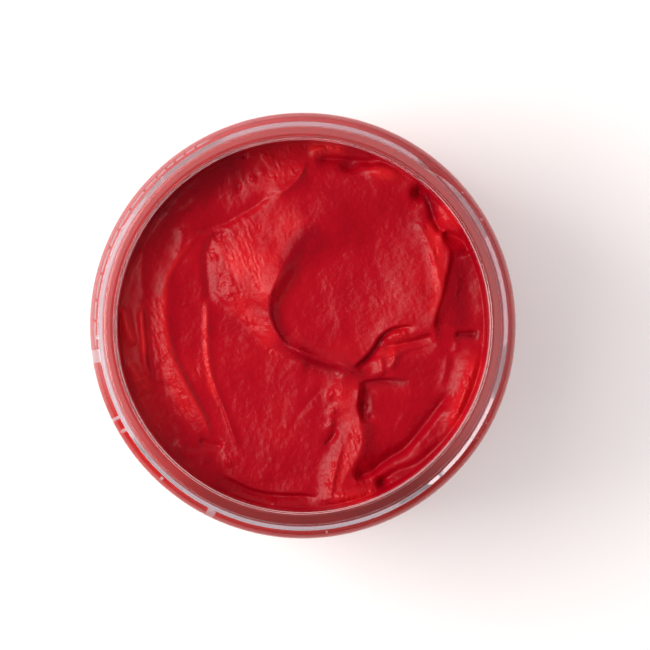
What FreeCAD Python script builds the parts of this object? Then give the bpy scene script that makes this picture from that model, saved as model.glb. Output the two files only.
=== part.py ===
"""Open paint jar: a clear plastic screw-top jar with its lid off, filled with thick paste paint.

The frame is the jar's own: the origin is the centre of the base on the surface that the jar stands on,
+Z is up the jar's axis, and +Y points away from a person who stands at the front and looks down into it.
All lengths are in millimetres and angles in degrees. The jar has a one-turn right-hand continuous thread
of the 70 mm size, on a straight wall 73 mm across. The lid isn't part of the model.
"""

import FreeCAD
import Part

import math
import os

from FreeCAD import Vector

# ---------------------------------------------------------------- driving dimensions
# The jar's outside
BODY_RADIUS = 36.5            # straight wall, outside
JAR_HEIGHT = 60.0             # from the resting ring to the rim's land
FINISH_HEIGHT = 10.0          # from the shoulder up to the land
WALL = 1.4                    # straight wall's thickness
SHOULDER_THICKNESS = 1.5
SHOULDER_RADIUS = 2.6         # round outer edge between wall and shoulder
HEEL_RADIUS = 3.2             # round outer edge between base and wall
BASE_THICKNESS = 1.9
PUSH_UP = 1.3                 # how far the base's middle is domed up
REST_RING_RADIUS = 29.0       # inner radius of the flat ring that the jar rests on

# The neck: a 70 mm one-turn thread on a plain wall
NECK_RADIUS = 33.35           # neck wall, outside
MOUTH_RADIUS = 31.45          # neck wall, inside
NECK_ROOT_FILLET = 0.5        # where the neck meets the shoulder
MOUTH_LOWER_RADIUS = 0.8      # rounded corner under the neck, inside
FLOOR_CORNER_EXTRA = 0.6      # the inside corner at the floor is this much rounder than an even wall needs
LAND_OUTER_RADIUS = 0.35      # rounding of the land's outer edge
LAND_INNER_RADIUS = 0.5       # rounding of the land's inner edge

THREAD_CREST_RADIUS = 34.55
THREAD_PITCH = 5.08           # five threads to the inch
THREAD_ROOT_WIDTH = 2.9       # the flanks slope at 31.5 degrees
THREAD_CREST_WIDTH = 1.0
THREAD_ROOTING = 0.35         # how far the thread's section reaches into the neck wall
THREAD_BURIED = 0.21          # how far its faded ends still reach out of that depth, inside the wall
THREAD_TOP = 57.7             # height of the thread's middle at its upper end
THREAD_TURN = 372.0           # how far the thread runs round
THREAD_UPPER_END = 55.0       # direction of the thread's upper end
THREAD_TAPER = 16.0           # each end fades into the wall over this angle
THREAD_STEP = 6.0             # spacing of the sections that the thread is lofted through

SEAM_DIRECTIONS = (133.5, 313.5)   # the two halves of the mould met here
SEAM_PROUD = 0.12
SEAM_WIDTH = 0.28

GATE_RADIUS = 1.6             # moulding gate's mark, in the middle of the base's underside
GATE_HEIGHT = 0.4

# The paint: heaped a little in the middle, with one round scoop taken out of it
PAINT_EDGE = 50.6             # level at the wall
PAINT_HEAP = 2.4              # how much higher the middle is
SCOOP_CENTRE = (8.0, 5.5)
SCOOP_RADIUS = 14.5           # across the level of the heap's top
SCOOP_DEPTH = 5.0

OUT = "parts"


# ---------------------------------------------------------------- profile helpers
def at(radius, height):
    """A point of a profile in the XZ plane."""
    return Vector(radius, 0, height)


def line(start, end):
    return Part.LineSegment(start, end).toShape()


def rounded(centre, radius, from_angle, to_angle):
    """An arc in the XZ plane, through the middle of the two angles."""
    def on_arc(angle):
        turn = math.radians(angle)
        return centre + Vector(math.cos(turn), 0, math.sin(turn)) * radius

    middle = (from_angle + to_angle) / 2
    return Part.Arc(on_arc(from_angle), on_arc(middle), on_arc(to_angle)).toShape()


def ends(edge):
    return edge.valueAt(edge.FirstParameter), edge.valueAt(edge.LastParameter)


def joined(curves):
    """A closed wire of the given edges, in order, with straight edges put in where two don't meet."""
    edges = []
    for index, curve in enumerate(curves):
        edges.append(curve)
        here = ends(curve)[1]
        there = ends(curves[(index + 1) % len(curves)])[0]
        if here.distanceToPoint(there) > 1e-6:
            edges.append(line(here, there))
    return Part.Wire(edges)


def revolved(curves):
    """The solid of revolution about Z of a closed profile."""
    face = Part.Face(joined(curves))
    return face.revolve(Vector(0, 0, 0), Vector(0, 0, 1), 360)


# ---------------------------------------------------------------- jar body
def shoulder_height():
    return JAR_HEIGHT - FINISH_HEIGHT


def dome(rim_radius, rim_height, rise):
    """An arc from the axis out to a rim, domed up by rise in the middle."""
    sphere = (rim_radius ** 2 + rise ** 2) / (2 * rise)
    half = math.degrees(math.asin(rim_radius / sphere))
    return rounded(at(0, rim_height + rise - sphere), sphere, 90, 90 - half)


def outer_curves():
    """From the base's middle, out under the jar and up to the land's outer edge."""
    shoulder = shoulder_height()
    wall_centre = BODY_RADIUS - SHOULDER_RADIUS
    root = NECK_RADIUS + NECK_ROOT_FILLET
    return [
        dome(REST_RING_RADIUS, 0, PUSH_UP),
        rounded(at(BODY_RADIUS - HEEL_RADIUS, HEEL_RADIUS), HEEL_RADIUS, -90, 0),
        rounded(at(wall_centre, shoulder - SHOULDER_RADIUS), SHOULDER_RADIUS, 0, 90),
        rounded(at(root, shoulder + NECK_ROOT_FILLET), NECK_ROOT_FILLET, 270, 180),
        rounded(at(NECK_RADIUS - LAND_OUTER_RADIUS, JAR_HEIGHT - LAND_OUTER_RADIUS),
                LAND_OUTER_RADIUS, 0, 90),
    ]


def inner_curves():
    """From the land's inner edge, down inside the jar to the middle of its floor."""
    ceiling = shoulder_height() - SHOULDER_THICKNESS
    inside = BODY_RADIUS - WALL
    under = SHOULDER_RADIUS - WALL
    corner = HEEL_RADIUS - WALL + FLOOR_CORNER_EXTRA
    floor_dome = dome(REST_RING_RADIUS, BASE_THICKNESS, PUSH_UP)
    start, end = ends(floor_dome)
    middle = floor_dome.valueAt((floor_dome.FirstParameter + floor_dome.LastParameter) / 2)
    return [
        rounded(at(MOUTH_RADIUS + LAND_INNER_RADIUS, JAR_HEIGHT - LAND_INNER_RADIUS),
                LAND_INNER_RADIUS, 90, 180),
        rounded(at(MOUTH_RADIUS + MOUTH_LOWER_RADIUS, ceiling + MOUTH_LOWER_RADIUS),
                MOUTH_LOWER_RADIUS, 180, 270),
        rounded(at(inside - under, ceiling - under), under, 90, 0),
        rounded(at(inside - corner, BASE_THICKNESS + corner), corner, 0, -90),
        Part.Arc(end, middle, start).toShape(),
    ]


def thread_section(direction, height, depth_share):
    """The thread's cross-section in the radial plane of a direction, as a closed wire."""
    root = NECK_RADIUS - THREAD_ROOTING
    crest = root + (THREAD_CREST_RADIUS - root) * depth_share
    half_root = THREAD_ROOT_WIDTH / 2
    half_crest = THREAD_CREST_WIDTH / 2
    corners = [
        (root, height - half_root),
        (crest, height - half_crest),
        (crest, height + half_crest),
        (root, height + half_root),
    ]
    turn = math.radians(direction)
    points = [Vector(r * math.cos(turn), r * math.sin(turn), z) for r, z in corners]
    return Part.makePolygon(points + points[:1])


def thread_height(direction):
    """Height of the thread's middle, for a direction from its lower end to THREAD_UPPER_END."""
    return THREAD_TOP - THREAD_PITCH * (THREAD_UPPER_END - direction) / 360


def thread():
    """One right-hand turn that rises counter-clockwise, faded into the neck at both ends."""
    lowest_share = THREAD_BURIED / (THREAD_CREST_RADIUS - NECK_RADIUS + THREAD_ROOTING)
    lower_end = THREAD_UPPER_END - THREAD_TURN
    count = round(THREAD_TURN / THREAD_STEP)
    sections = []
    for index in range(count + 1):
        run = THREAD_TURN * index / count
        fade = min(1.0, run / THREAD_TAPER, (THREAD_TURN - run) / THREAD_TAPER)
        share = lowest_share + (1 - lowest_share) * math.sin(fade * math.pi / 2)
        direction = lower_end + run
        sections.append(thread_section(direction, thread_height(direction), share))
    return Part.makeLoft(sections, True, False)


def mould_seam(direction):
    """A thin fin that follows the neck and the thread in one radial plane."""
    while direction > THREAD_UPPER_END:
        direction -= 360
    height = thread_height(direction)
    foot = NECK_RADIUS + SEAM_PROUD
    crest = THREAD_CREST_RADIUS + SEAM_PROUD
    half_root = THREAD_ROOT_WIDTH / 2
    half_crest = THREAD_CREST_WIDTH / 2 + SEAM_PROUD
    bottom = shoulder_height() + NECK_ROOT_FILLET
    top = JAR_HEIGHT - LAND_OUTER_RADIUS
    rooted = NECK_RADIUS - SEAM_PROUD
    corners = [
        (rooted, bottom), (foot, bottom), (foot, height - half_root),
        (crest, height - half_crest), (crest, height + half_crest),
        (foot, height + half_root), (foot, top), (rooted, top),
    ]
    points = [Vector(r, -SEAM_WIDTH / 2, z) for r, z in corners]
    fin = Part.Face(Part.makePolygon(points + points[:1])).extrude(Vector(0, SEAM_WIDTH, 0))
    fin.rotate(Vector(0, 0, 0), Vector(0, 0, 1), direction)
    return fin


def gate_mark():
    """The small round nub that the moulding gate left under the base."""
    return Part.makeCylinder(GATE_RADIUS, GATE_HEIGHT + BASE_THICKNESS / 2,
                             at(0, PUSH_UP - GATE_HEIGHT))


def jar_body():
    shell = revolved(outer_curves() + inner_curves())
    pieces = [thread(), gate_mark()] + [mould_seam(direction) for direction in SEAM_DIRECTIONS]
    return shell.fuse(pieces).removeSplitter()


# ---------------------------------------------------------------- paint
def paint():
    """The paste fills the jar up into the foot of the neck and touches the wall all round."""
    heap = dome(MOUTH_RADIUS, PAINT_EDGE, PAINT_HEAP)
    bulk = revolved([heap] + inner_curves()[1:])
    sphere = (SCOOP_RADIUS ** 2 + SCOOP_DEPTH ** 2) / (2 * SCOOP_DEPTH)
    middle = Vector(*SCOOP_CENTRE, PAINT_EDGE + PAINT_HEAP - SCOOP_DEPTH + sphere)
    return bulk.cut(Part.makeSphere(sphere, middle)).removeSplitter()


def single_solid(shape, name):
    """The one solid of a finished shape; anything else is a mistake in the model."""
    if len(shape.Solids) != 1 or not shape.isValid():
        raise ValueError(f"{name} is {len(shape.Solids)} solids, valid {shape.isValid()}")
    return shape.Solids[0]


def main():
    os.makedirs(OUT, exist_ok=True)
    for name, make in {"jar_body": jar_body, "paint": paint}.items():
        solid = single_solid(make(), name)
        solid.exportStep(f"{OUT}/{name}.step")
        box = solid.optimalBoundingBox()
        print(f"{name}: {solid.Volume / 1000:.1f} ml, {len(solid.Faces)} faces,"
              f" {box.XLength:.2f} x {box.YLength:.2f} x {box.ZLength:.2f} mm")


main()
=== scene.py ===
"""Looks of the open paint jar: clear moulded plastic, full of thick red paste with spatula marks in it.

Everything is in the jar's own frame: origin under the jar's middle, +Z up, +Y to the back. Shapes are
worked out in millimetres, and SCALE turns them into the metres of the scene. The paint's swirls are strokes,
listed with their points as seen from above.
"""

import math

import bmesh
import bpy
import numpy as np
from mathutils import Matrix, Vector, noise


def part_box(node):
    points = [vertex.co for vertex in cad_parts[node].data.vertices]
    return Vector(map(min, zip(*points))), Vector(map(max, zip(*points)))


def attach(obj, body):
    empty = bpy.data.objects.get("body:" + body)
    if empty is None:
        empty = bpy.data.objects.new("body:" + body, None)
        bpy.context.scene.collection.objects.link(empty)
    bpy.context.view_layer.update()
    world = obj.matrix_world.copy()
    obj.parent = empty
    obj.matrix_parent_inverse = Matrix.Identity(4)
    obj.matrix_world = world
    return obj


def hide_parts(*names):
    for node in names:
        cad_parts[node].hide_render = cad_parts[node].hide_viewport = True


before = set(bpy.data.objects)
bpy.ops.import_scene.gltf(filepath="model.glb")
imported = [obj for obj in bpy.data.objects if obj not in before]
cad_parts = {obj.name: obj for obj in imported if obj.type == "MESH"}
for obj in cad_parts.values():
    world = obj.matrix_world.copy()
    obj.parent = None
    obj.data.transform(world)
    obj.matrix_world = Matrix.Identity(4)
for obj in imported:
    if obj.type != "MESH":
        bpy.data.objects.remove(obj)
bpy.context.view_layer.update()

SCALE = 0.001
JAR_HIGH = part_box("jar_body")[1]

# ---------------- the jar, in mm, as in the CAD
BODY_RADIUS = JAR_HIGH.x / SCALE
JAR_HEIGHT = JAR_HIGH.z / SCALE
SHOULDER = JAR_HEIGHT - 10.0          # height of the shoulder, where the neck begins
WALL = 1.4
SHOULDER_THICKNESS = 1.5
SHOULDER_RADIUS = 2.6
HEEL_RADIUS = 3.2
FLOOR_CORNER = 2.4                    # inside corner between wall and floor
BASE_THICKNESS = 1.9
PUSH_UP = 1.3
REST_RING_RADIUS = 29.0
GATE_RADIUS = 1.6
GATE_HEIGHT = 0.4
NECK_RADIUS = 33.35
MOUTH_RADIUS = 31.45
NECK_ROOT_FILLET = 0.5
MOUTH_LOWER_RADIUS = 0.8
LAND_OUTER_RADIUS = 0.35
LAND_INNER_RADIUS = 0.5

THREAD_DEPTH = 1.2                    # crest above the neck wall
THREAD_ROOTING = 0.35
THREAD_PITCH = 5.08
THREAD_ROOT_WIDTH = 2.9
THREAD_CREST_WIDTH = 1.0
THREAD_TOP = 57.7
THREAD_TURN = 372.0
THREAD_UPPER_END = 55.0
THREAD_TAPER = 16.0
THREAD_ROUNDING = 0.1                 # how far the thread's corners are worn round
SEAM_DIRECTIONS = (133.5, 313.5)
SEAM_PROUD = 0.12
SEAM_HALF_ANGLE = 0.24                # half the parting line's width, in degrees round the neck

# ---------------- the paint, in mm
PAINT_HEAP = 0.8                      # how much higher the middle is than the edge
GRID = 320                            # cells across the paint's surface
SHARP = 0.35                          # width of a fold's steep face
CONTACT = 0.05                        # how far the paste reaches into the plastic, so that no air film shows
STROKE_SCALE = 1.0095                 # the strokes were laid out for a mouth this much smaller
STROKE_SHIFT = 0.075                  # and are moved this far to the left
FILM_LOW = 0.7                        # how far the paste is smeared up the neck
FILM_RISE = 2.9                       # and how much further in the sector at the right
FILM_HIGH_SECTOR = (285, 40)
FILM_LIMITS = (0.3, 4.4)

CAMERA_PLACE = (0.0038, 0.0001)       # in metres, from the jar's axis
CAMERA_ABOVE_RIM = 0.5
CAMERA_LENS = 165.7
LAMP_DISTANCE = 0.75


# ---------------- outlines
def bend(radius, height, size, start, end, steps=8):
    """Points (radius, height) round a bend: its centre, its size and the two directions it runs between."""
    turns = np.radians(np.linspace(start, end, steps + 1))
    return [(radius + size * math.cos(turn), height + size * math.sin(turn)) for turn in turns]


def dome(rim_radius, rim_height, lift, steps=14):
    """Points of a shallow dome, from the axis out to its rim."""
    sphere = (rim_radius ** 2 + lift ** 2) / (2 * lift)
    top = rim_height + lift - sphere
    return [(radius, top + math.sqrt(sphere ** 2 - radius ** 2)) for radius in np.linspace(0, rim_radius,
                                                                                           steps + 1)]


def run(start, end, spacing):
    """Points of a straight stretch after its first one, up to but without its last."""
    count = max(1, round(math.dist(start, end) / spacing))
    shares = np.linspace(0, 1, count + 1)[1:-1]
    return [(start[0] + (end[0] - start[0]) * share,
             start[1] + (end[1] - start[1]) * share) for share in shares]


def inside_outline():
    """The filled space: from the mouth's lower edge under the shoulder, down the wall and along the floor."""
    ceiling = SHOULDER - SHOULDER_THICKNESS
    wall = BODY_RADIUS - WALL
    corner = SHOULDER_RADIUS - WALL
    mouth = bend(MOUTH_RADIUS + MOUTH_LOWER_RADIUS, ceiling + MOUTH_LOWER_RADIUS, MOUTH_LOWER_RADIUS, 180,
                 270, 6)
    shoulder = bend(wall - corner, ceiling - corner, corner, 90, 0, 12)
    heel = bend(wall - FLOOR_CORNER, BASE_THICKNESS + FLOOR_CORNER, FLOOR_CORNER, 0, -90)
    floor = dome(REST_RING_RADIUS, BASE_THICKNESS, PUSH_UP)[::-1]
    upper = mouth + run(mouth[-1], shoulder[0], 0.25) + shoulder
    return upper + run(shoulder[-1], heel[0], 0.8) + heel + floor


# ---------------- strokes
def smooth(values):
    """0 to 1 with a soft start and end."""
    t = np.clip(values, 0.0, 1.0)
    return t * t * (3 - 2 * t)


def through(points, pieces=8):
    """A smooth line through the given points, as an array of closely spaced ones."""
    knots = np.array(points, float)
    first = 2 * knots[0] - knots[1]
    last = 2 * knots[-1] - knots[-2]
    padded = np.vstack([first, knots, last])
    t = np.linspace(0, 1, pieces, endpoint=False)[:, None]
    line = []
    for a, b, c, d in zip(padded, padded[1:], padded[2:], padded[3:]):
        line.append(0.5 * (2 * b + (c - a) * t + (2 * a - 5 * b + 4 * c - d) * t ** 2
                           + (3 * b - a - 3 * c + d) * t ** 3))
    return np.vstack(line + [knots[-1:]])


class Surface:
    """The paint's top at points x, y in mm: height in mm above its edge, how torn it is, and the light
    and shade painted into its colour.

    That painted light runs from -1, painted shade at its darkest, to 1, painted light at its lightest.
    """

    def __init__(self, x, y):
        self.x, self.y = x, y
        self.height = np.zeros_like(x)
        self.torn = np.zeros_like(x)
        self.tone = np.zeros_like(x)

    def along(self, points, reach):
        """Which points lie within reach of a line, their share along it and distance, + to its left."""
        line = through(points)
        low, high = line.min(0) - reach, line.max(0) + reach
        near = np.flatnonzero((self.x > low[0]) & (self.x < high[0]) & (self.y > low[1]) & (self.y < high[1]))
        x, y = self.x[near], self.y[near]
        step = np.diff(line, axis=0)
        length = np.hypot(step[:, 0], step[:, 1])
        start = np.concatenate([[0], np.cumsum(length)])
        best = np.full(len(near), np.inf)
        share = np.zeros(len(near))
        side = np.ones(len(near))
        for index in range(len(step)):
            dx, dy = x - line[index, 0], y - line[index, 1]
            along = np.clip((dx * step[index, 0] + dy * step[index, 1]) / length[index] ** 2, 0, 1)
            px, py = dx - along * step[index, 0], dy - along * step[index, 1]
            distance = np.hypot(px, py)
            closer = distance < best
            best[closer] = distance[closer]
            share[closer] = (start[index] + along[closer] * length[index]) / start[-1]
            side[closer] = np.sign(step[index, 0] * py[closer] - step[index, 1] * px[closer])
        return near, share, best * np.where(side == 0, 1, side)

    def ends(self, share, fade):
        return smooth(share / max(fade[0], 1e-6)) * smooth((1 - share) / max(fade[1], 1e-6))

    def crest(self, points, height, left, right, fade=(0.2, 0.2), power=1.3):
        """A ridge, or with a negative height a furrow, that falls away over left and right mm each side."""
        near, share, across = self.along(points, 3.2 * max(left, right))
        width = np.where(across > 0, left, right)
        self.height[near] += height * np.exp(-(np.abs(across) / width) ** power) * self.ends(share, fade)

    def fold(self, points, rise, lip, dip, trough, fade=(0.15, 0.15)):
        """A lip on the line's left, rise high and lip wide, that drops sharply to a trough on its right."""
        near, share, across = self.along(points, 3.2 * max(lip, trough))
        over = smooth(across / SHARP + 0.5)
        high = rise * np.exp(-(np.abs(across) / lip) ** 1.3)
        low = dip * np.exp(-(np.abs(across) / trough) ** 1.3)
        self.height[near] += (high * over - low * (1 - over)) * self.ends(share, fade)

    def ramp(self, foot, top, heights, drop):
        """A face that climbs from a foot line to the line of its top, and falls away over drop mm beyond it.

        Both lines run up the Y axis, and heights are (y, mm) pairs.
        """
        foot, top, heights = through(foot), through(top), np.array(heights, float)
        start = np.interp(self.y, foot[:, 1], foot[:, 0])
        end = np.interp(self.y, top[:, 1], top[:, 0])
        share = np.clip((self.x - start) / (end - start), 0, 1)
        past = np.maximum(self.x - end, 0)
        self.height += (np.interp(self.y, heights[:, 0], heights[:, 1]) * share ** 1.2
                        * np.exp(-(past / np.interp(self.y, *np.transpose(drop))) ** 1.6))

    def mound(self, centre, size, height, turn=0.0, power=2.0):
        """A rounded rise or hollow."""
        self.height += height * self.spot(centre, size, turn, power)

    def spot(self, centre, size, turn=0.0, power=2.0):
        """1 at a centre, falling to 0 over the two sizes of an oval turned by degrees."""
        angle = math.radians(turn)
        dx, dy = self.x - centre[0], self.y - centre[1]
        u = (dx * math.cos(angle) + dy * math.sin(angle)) / size[0]
        v = (dy * math.cos(angle) - dx * math.sin(angle)) / size[1]
        return np.exp(-np.hypot(u, v) ** power)

    def tear(self, centre, size, amount, turn=0.0):
        """A patch that the spatula left rough."""
        self.torn = np.maximum(self.torn, amount * self.spot(centre, size, turn, 3.0))

    def tear_along(self, points, width, amount, fade=(0.15, 0.15)):
        near, share, across = self.along(points, 2.5 * width)
        patch = amount * np.exp(-(np.abs(across) / width) ** 3) * self.ends(share, fade)
        self.torn[near] = np.maximum(self.torn[near], patch)

    def shade(self, points, width, amount, fade=(0.2, 0.2), power=2.0):
        """A stretch of painted light, lighter than the rest, or of painted shade where the amount is
        negative.
        """
        near, share, across = self.along(points, 2.5 * width)
        self.tone[near] += amount * np.exp(-(np.abs(across) / width) ** power) * self.ends(share, fade)

    # A spot of painted light, or of painted shade where the amount is negative.
    def shade_spot(self, centre, size, amount, turn=0.0, power=2.0):
        self.tone += amount * self.spot(centre, size, turn, power)


def grain(x, y, size, seed, stretch=1.0, turn=0.0):
    """Smooth noise from -1 to 1 at points in mm, size mm to a bump, drawn out along turn degrees."""
    angle = math.radians(turn)
    u = (x * math.cos(angle) + y * math.sin(angle)) / (size * stretch)
    v = (y * math.cos(angle) - x * math.sin(angle)) / size
    return np.array([noise.noise(Vector((a, b, seed))) for a, b in zip(u, v)])


# ---------------- the paint's relief
def broad_shape(top):
    """The heap, the wide hollows, and the paint that climbs to the wall."""
    top.height += PAINT_HEAP * (1 - (top.x ** 2 + top.y ** 2) / MOUTH_RADIUS ** 2)
    top.height += 0.10 * np.maximum(-13 - top.x, 0)
    top.mound((-2, 21), (10, 5), 1.0)
    top.mound((-8, -29), (12, 4), -1.2)
    top.mound((5, 5), (11, 12), -0.8)
    back_left = [(-4, 31.5), (-10, 30), (-18, 26), (-24.5, 20), (-28, 14.5)]
    top.crest(back_left, 1.2, 2.8, 2.8, fade=(0.25, 0.4), power=1.6)
    front_left = [(-22, -22), (-16, -27), (-8, -30.5), (3, -31.5)]
    top.crest(front_left, 1.3, 2.3, 2.3, fade=(0.3, 0.2), power=1.6)
    right = [(32, -3), (29.5, -12), (25, -20), (18, -26.5)]
    top.crest(right, 1.6, 3.5, 3.5, fade=(0.15, 0.3), power=1.6)
    top.crest([(31, 6), (28, 15), (22, 23), (14, 29)], 1.2, 3.0, 3.0, fade=(0.3, 0.3), power=1.6)


def lit_slopes(top):
    """The slopes that catch the light: each climbs to the right and ends in a drop."""
    # between the long line on the left and the scoop's rim
    top.ramp([(-1.5, -6.5), (-5, -4), (-7.5, -2), (-9.5, 0), (-12, 3), (-14.5, 5), (-16, 8), (-16.2, 12),
              (-12, 16), (-7, 20), (-3, 23)],
             [(4, -6.5), (-0.3, -4.4), (-2, -3.6), (-3.5, -2), (-4.6, 0), (-5.2, 2), (-5.3, 4.2), (-4.8, 6),
              (-4, 8), (-3, 10.5), (-1.5, 13.2), (0.6, 15.6), (4, 19), (8, 23)],
             [(-6.5, 0), (-5, 0.8), (-2, 1.3), (0, 1.5), (3, 2.0), (6, 2.7), (8, 2.6), (11, 2.0), (15, 1.4),
              (18, 0.9), (23, 0)],
             [(-6, 1.4), (4, 1.4), (8, 1.8), (12, 3.6), (16, 9.0)])
    # from the scoop's floor to the overhanging edge on the right
    top.ramp([(9, -3), (8, 0), (8, 5), (11, 10), (15, 15), (17, 20)],
             [(22, -3), (22.2, -1.2), (22.5, 1), (23, 3), (23.7, 5), (24.3, 8), (24.8, 10), (25, 12.6),
              (23.6, 14.6), (20.5, 17.6), (19, 20)],
             [(-3, 0), (-1.2, 0.8), (1, 1.1), (5, 1.1), (10, 0.9), (13, 0.8), (17, 0.6), (20, 0)],
             [(-3, 0.9), (1, 0.9), (4, 1.4), (12.5, 1.4), (14.5, 1.2), (20, 2.0)])
    # the broken ridge in front
    top.ramp([(2, -31), (3, -27), (4, -23), (5, -19), (5.5, -16), (3.8, -13), (5.2, -9)],
             [(5.5, -31), (7, -26), (8.6, -23.3), (9.8, -21), (10, -18.5), (9.9, -16), (9.4, -13.5),
              (9.6, -10.5), (8.8, -9)],
             [(-31, 0), (-29, 0.5), (-24, 1.0), (-20, 1.3), (-15, 1.2), (-11, 1.2), (-9, 0)],
             [(-31, 2.0), (-25, 2.0), (-17, 1.5), (-15, 0.8), (-9, 0.8)])
    # its left branch
    top.ramp([(0.5, -30), (2, -26), (3.5, -22), (5, -19.5)],
             [(4.4, -30), (5.2, -26), (6, -22.5), (7.2, -19.5)],
             [(-30, 0), (-28, 0.6), (-23, 0.7), (-19.5, 0)],
             [(-30, 0.6), (-19, 0.6)])
    # along the left wall
    top.ramp([(-17.5, -18.5), (-20.8, -14), (-23.5, -10), (-25.2, -6), (-25.8, -2), (-25.8, 3), (-25, 8),
              (-23, 12.5)],
             [(-15.4, -18.5), (-17.2, -14.5), (-18.8, -11.5), (-20.3, -8.5), (-21.8, -5.5), (-22.8, -2.5),
              (-23.2, 0), (-23.3, 3), (-23.2, 5.5), (-22.7, 7.8), (-21.5, 10.3), (-20, 12.5)],
             [(-18.8, 0), (-17.5, 0.6), (-13, 0.85), (-7, 0.85), (0, 0.5), (6, 0.35), (12.5, 0)],
             [(-18, 0.6), (-5, 0.7), (2, 2.0), (12, 3.0)])


def scoop(top):
    """The round hollow that a spatula left: its steep inner wall, and the flap that closes it."""
    rim = [(-0.3, -4.4), (-2, -3.6), (-3.5, -2), (-4.6, 0), (-5.2, 2), (-5.3, 4.2), (-4.8, 6), (-4, 8),
           (-3, 10.5)]
    top.fold(rim, 0.2, 0.8, 0.8, 1.4, fade=(0.25, 0.6))
    # the thin lip that closes the hollow at the bottom, then crosses to the right
    top.crest([(-3, -2.8), (-0.5, -4.3), (1.5, -5.2), (4, -6), (7, -6.7), (9.5, -8), (11, -9)],
              1.3, 1.9, 0.8)
    top.crest([(0, -6.4), (3, -7.2), (7, -8)], -0.6, 0.8, 1.6)
    # the flap at the lower right, which lies over what is below it
    top.fold([(8.6, -7), (10.5, -5.6), (12, -3.9), (13, -2.2), (14, -1.2), (15.2, -0.5), (17, -0.1),
              (19.3, 0.2)],
             0.45, 1.6, 1.3, 0.9, fade=(0.1, 0.25))


def left_face(top):
    """The bright face between the scoop and the line that borders it on the left."""
    top.crest([(-12, 15.7), (-15, 15), (-16.3, 12), (-16.3, 9), (-16, 6), (-16, 2)], -0.6, 1.6, 0.4,
              fade=(0.1, 0.2))
    top.crest([(-16, 6), (-16.1, 0), (-16, -4), (-15.4, -8), (-14, -12), (-12.5, -16), (-11.2, -20),
               (-11, -23)],
              0.45, 0.55, 0.3, fade=(0.1, 0.2))
    # its lower border, where it lies on the smooth paint in front
    top.crest([(-15.5, 7.5), (-14, 5.2), (-11.5, 2.6), (-9, 0), (-7, -2), (-4.6, -4.8)], 0.3, 1.8, 0.5)
    top.fold([(-14.6, 5.8), (-14, 7), (-13.9, 8.3), (-12.8, 9)], -0.05, 0.6, 0.25, 0.6)
    top.tear((-14.6, 12.5), (1.6, 3.6), 1.0, turn=5)
    top.tear((-11.8, 9), (1.5, 6.5), 0.9, turn=12)
    top.tear((-9.5, 12.5), (2.2, 4.5), 0.8, turn=20)
    top.tear((-12.5, 6), (1.2, 3.2), 1.0, turn=28)
    top.tear((-9.3, 1.8), (0.9, 3.0), 1.0, turn=35)
    top.tear((-7.4, 7), (0.8, 2.6), 0.9, turn=20)
    top.tear((-8.5, 16.8), (2.6, 0.9), 0.9, turn=-25)
    top.tear_along([(-16.2, 4), (-16.2, -3), (-15.6, -9), (-14.6, -13)], 0.6, 0.9)
    top.tear((-5.6, -3.8), (0.8, 2.2), 0.8, turn=55)
    top.tear((-8.3, 0.2), (1.6, 0.7), 0.9, turn=-30)


def left_arcs(top):
    """Long arcs that follow the wall on the left."""
    arc = [(-16, 15.8), (-18, 14.6), (-20, 12.5), (-21.5, 10.3), (-22.7, 7.8), (-23.2, 5.5), (-23.3, 3)]
    top.crest(arc, 0.35, 0.5, 1.2, fade=(0.25, 0.3))
    top.crest([(-17.5, -19.2), (-15.5, -20), (-13.2, -20.3)], -0.9, 0.5, 0.7)
    top.crest([(-30.3, 3.5), (-29.6, 1), (-29, -1), (-28, -3.5)], 1.1, 0.5, 0.7)
    top.crest([(-27, 4), (-26.8, 0), (-26.5, -3), (-26.3, -6), (-25.3, -10)], 1.3, 0.5, 0.7)
    top.crest([(-28.8, -6), (-27.3, -8.5), (-25.8, -11.6)], 0.8, 0.6, 1.2)
    top.crest([(-24.6, -5), (-24.2, -8), (-23.8, -10)], 0.25, 0.4, 0.8)
    top.crest([(-26.5, 14), (-26.9, 10), (-26.8, 7), (-26.3, 4)], 0.35, 0.5, 0.8)
    top.crest([(-24, 18), (-20, 19.5), (-17, 22)], 0.4, 0.8, 0.8)
    top.crest([(-20.5, 17), (-20.2, 14.5), (-21.3, 11)], 0.35, 0.7, 0.9)
    top.crest([(-16.4, 21.6), (-17.5, 19.5)], 0.3, 0.6, 0.8)
    top.tear_along([(-23.6, 7), (-24, 2), (-23.8, -2), (-23.2, -6), (-21.8, -10), (-19.8, -14), (-18.4, -17)],
                   1.3, 1.0)
    top.tear((-27.2, -8.8), (1.1, 3.2), 1.0, turn=32)
    top.tear((-17.6, -7.2), (0.5, 1.3), 0.8, turn=10)
    top.tear((-20.6, -19.8), (0.6, 1.8), 0.7, turn=20)
    # lower left: a thin crest and the patch at the end of the border line
    top.crest([(-21, -19), (-20, -21), (-18.5, -21.5), (-17, -22), (-15.5, -23.3)], 0.6, 0.7, 0.7)
    top.tear((-12, -22.7), (1.5, 1.0), 0.9, turn=-20)
    top.crest([(-12.9, -21.7), (-12.2, -23.8)], 0.4, 1.0, 0.6)


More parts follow.
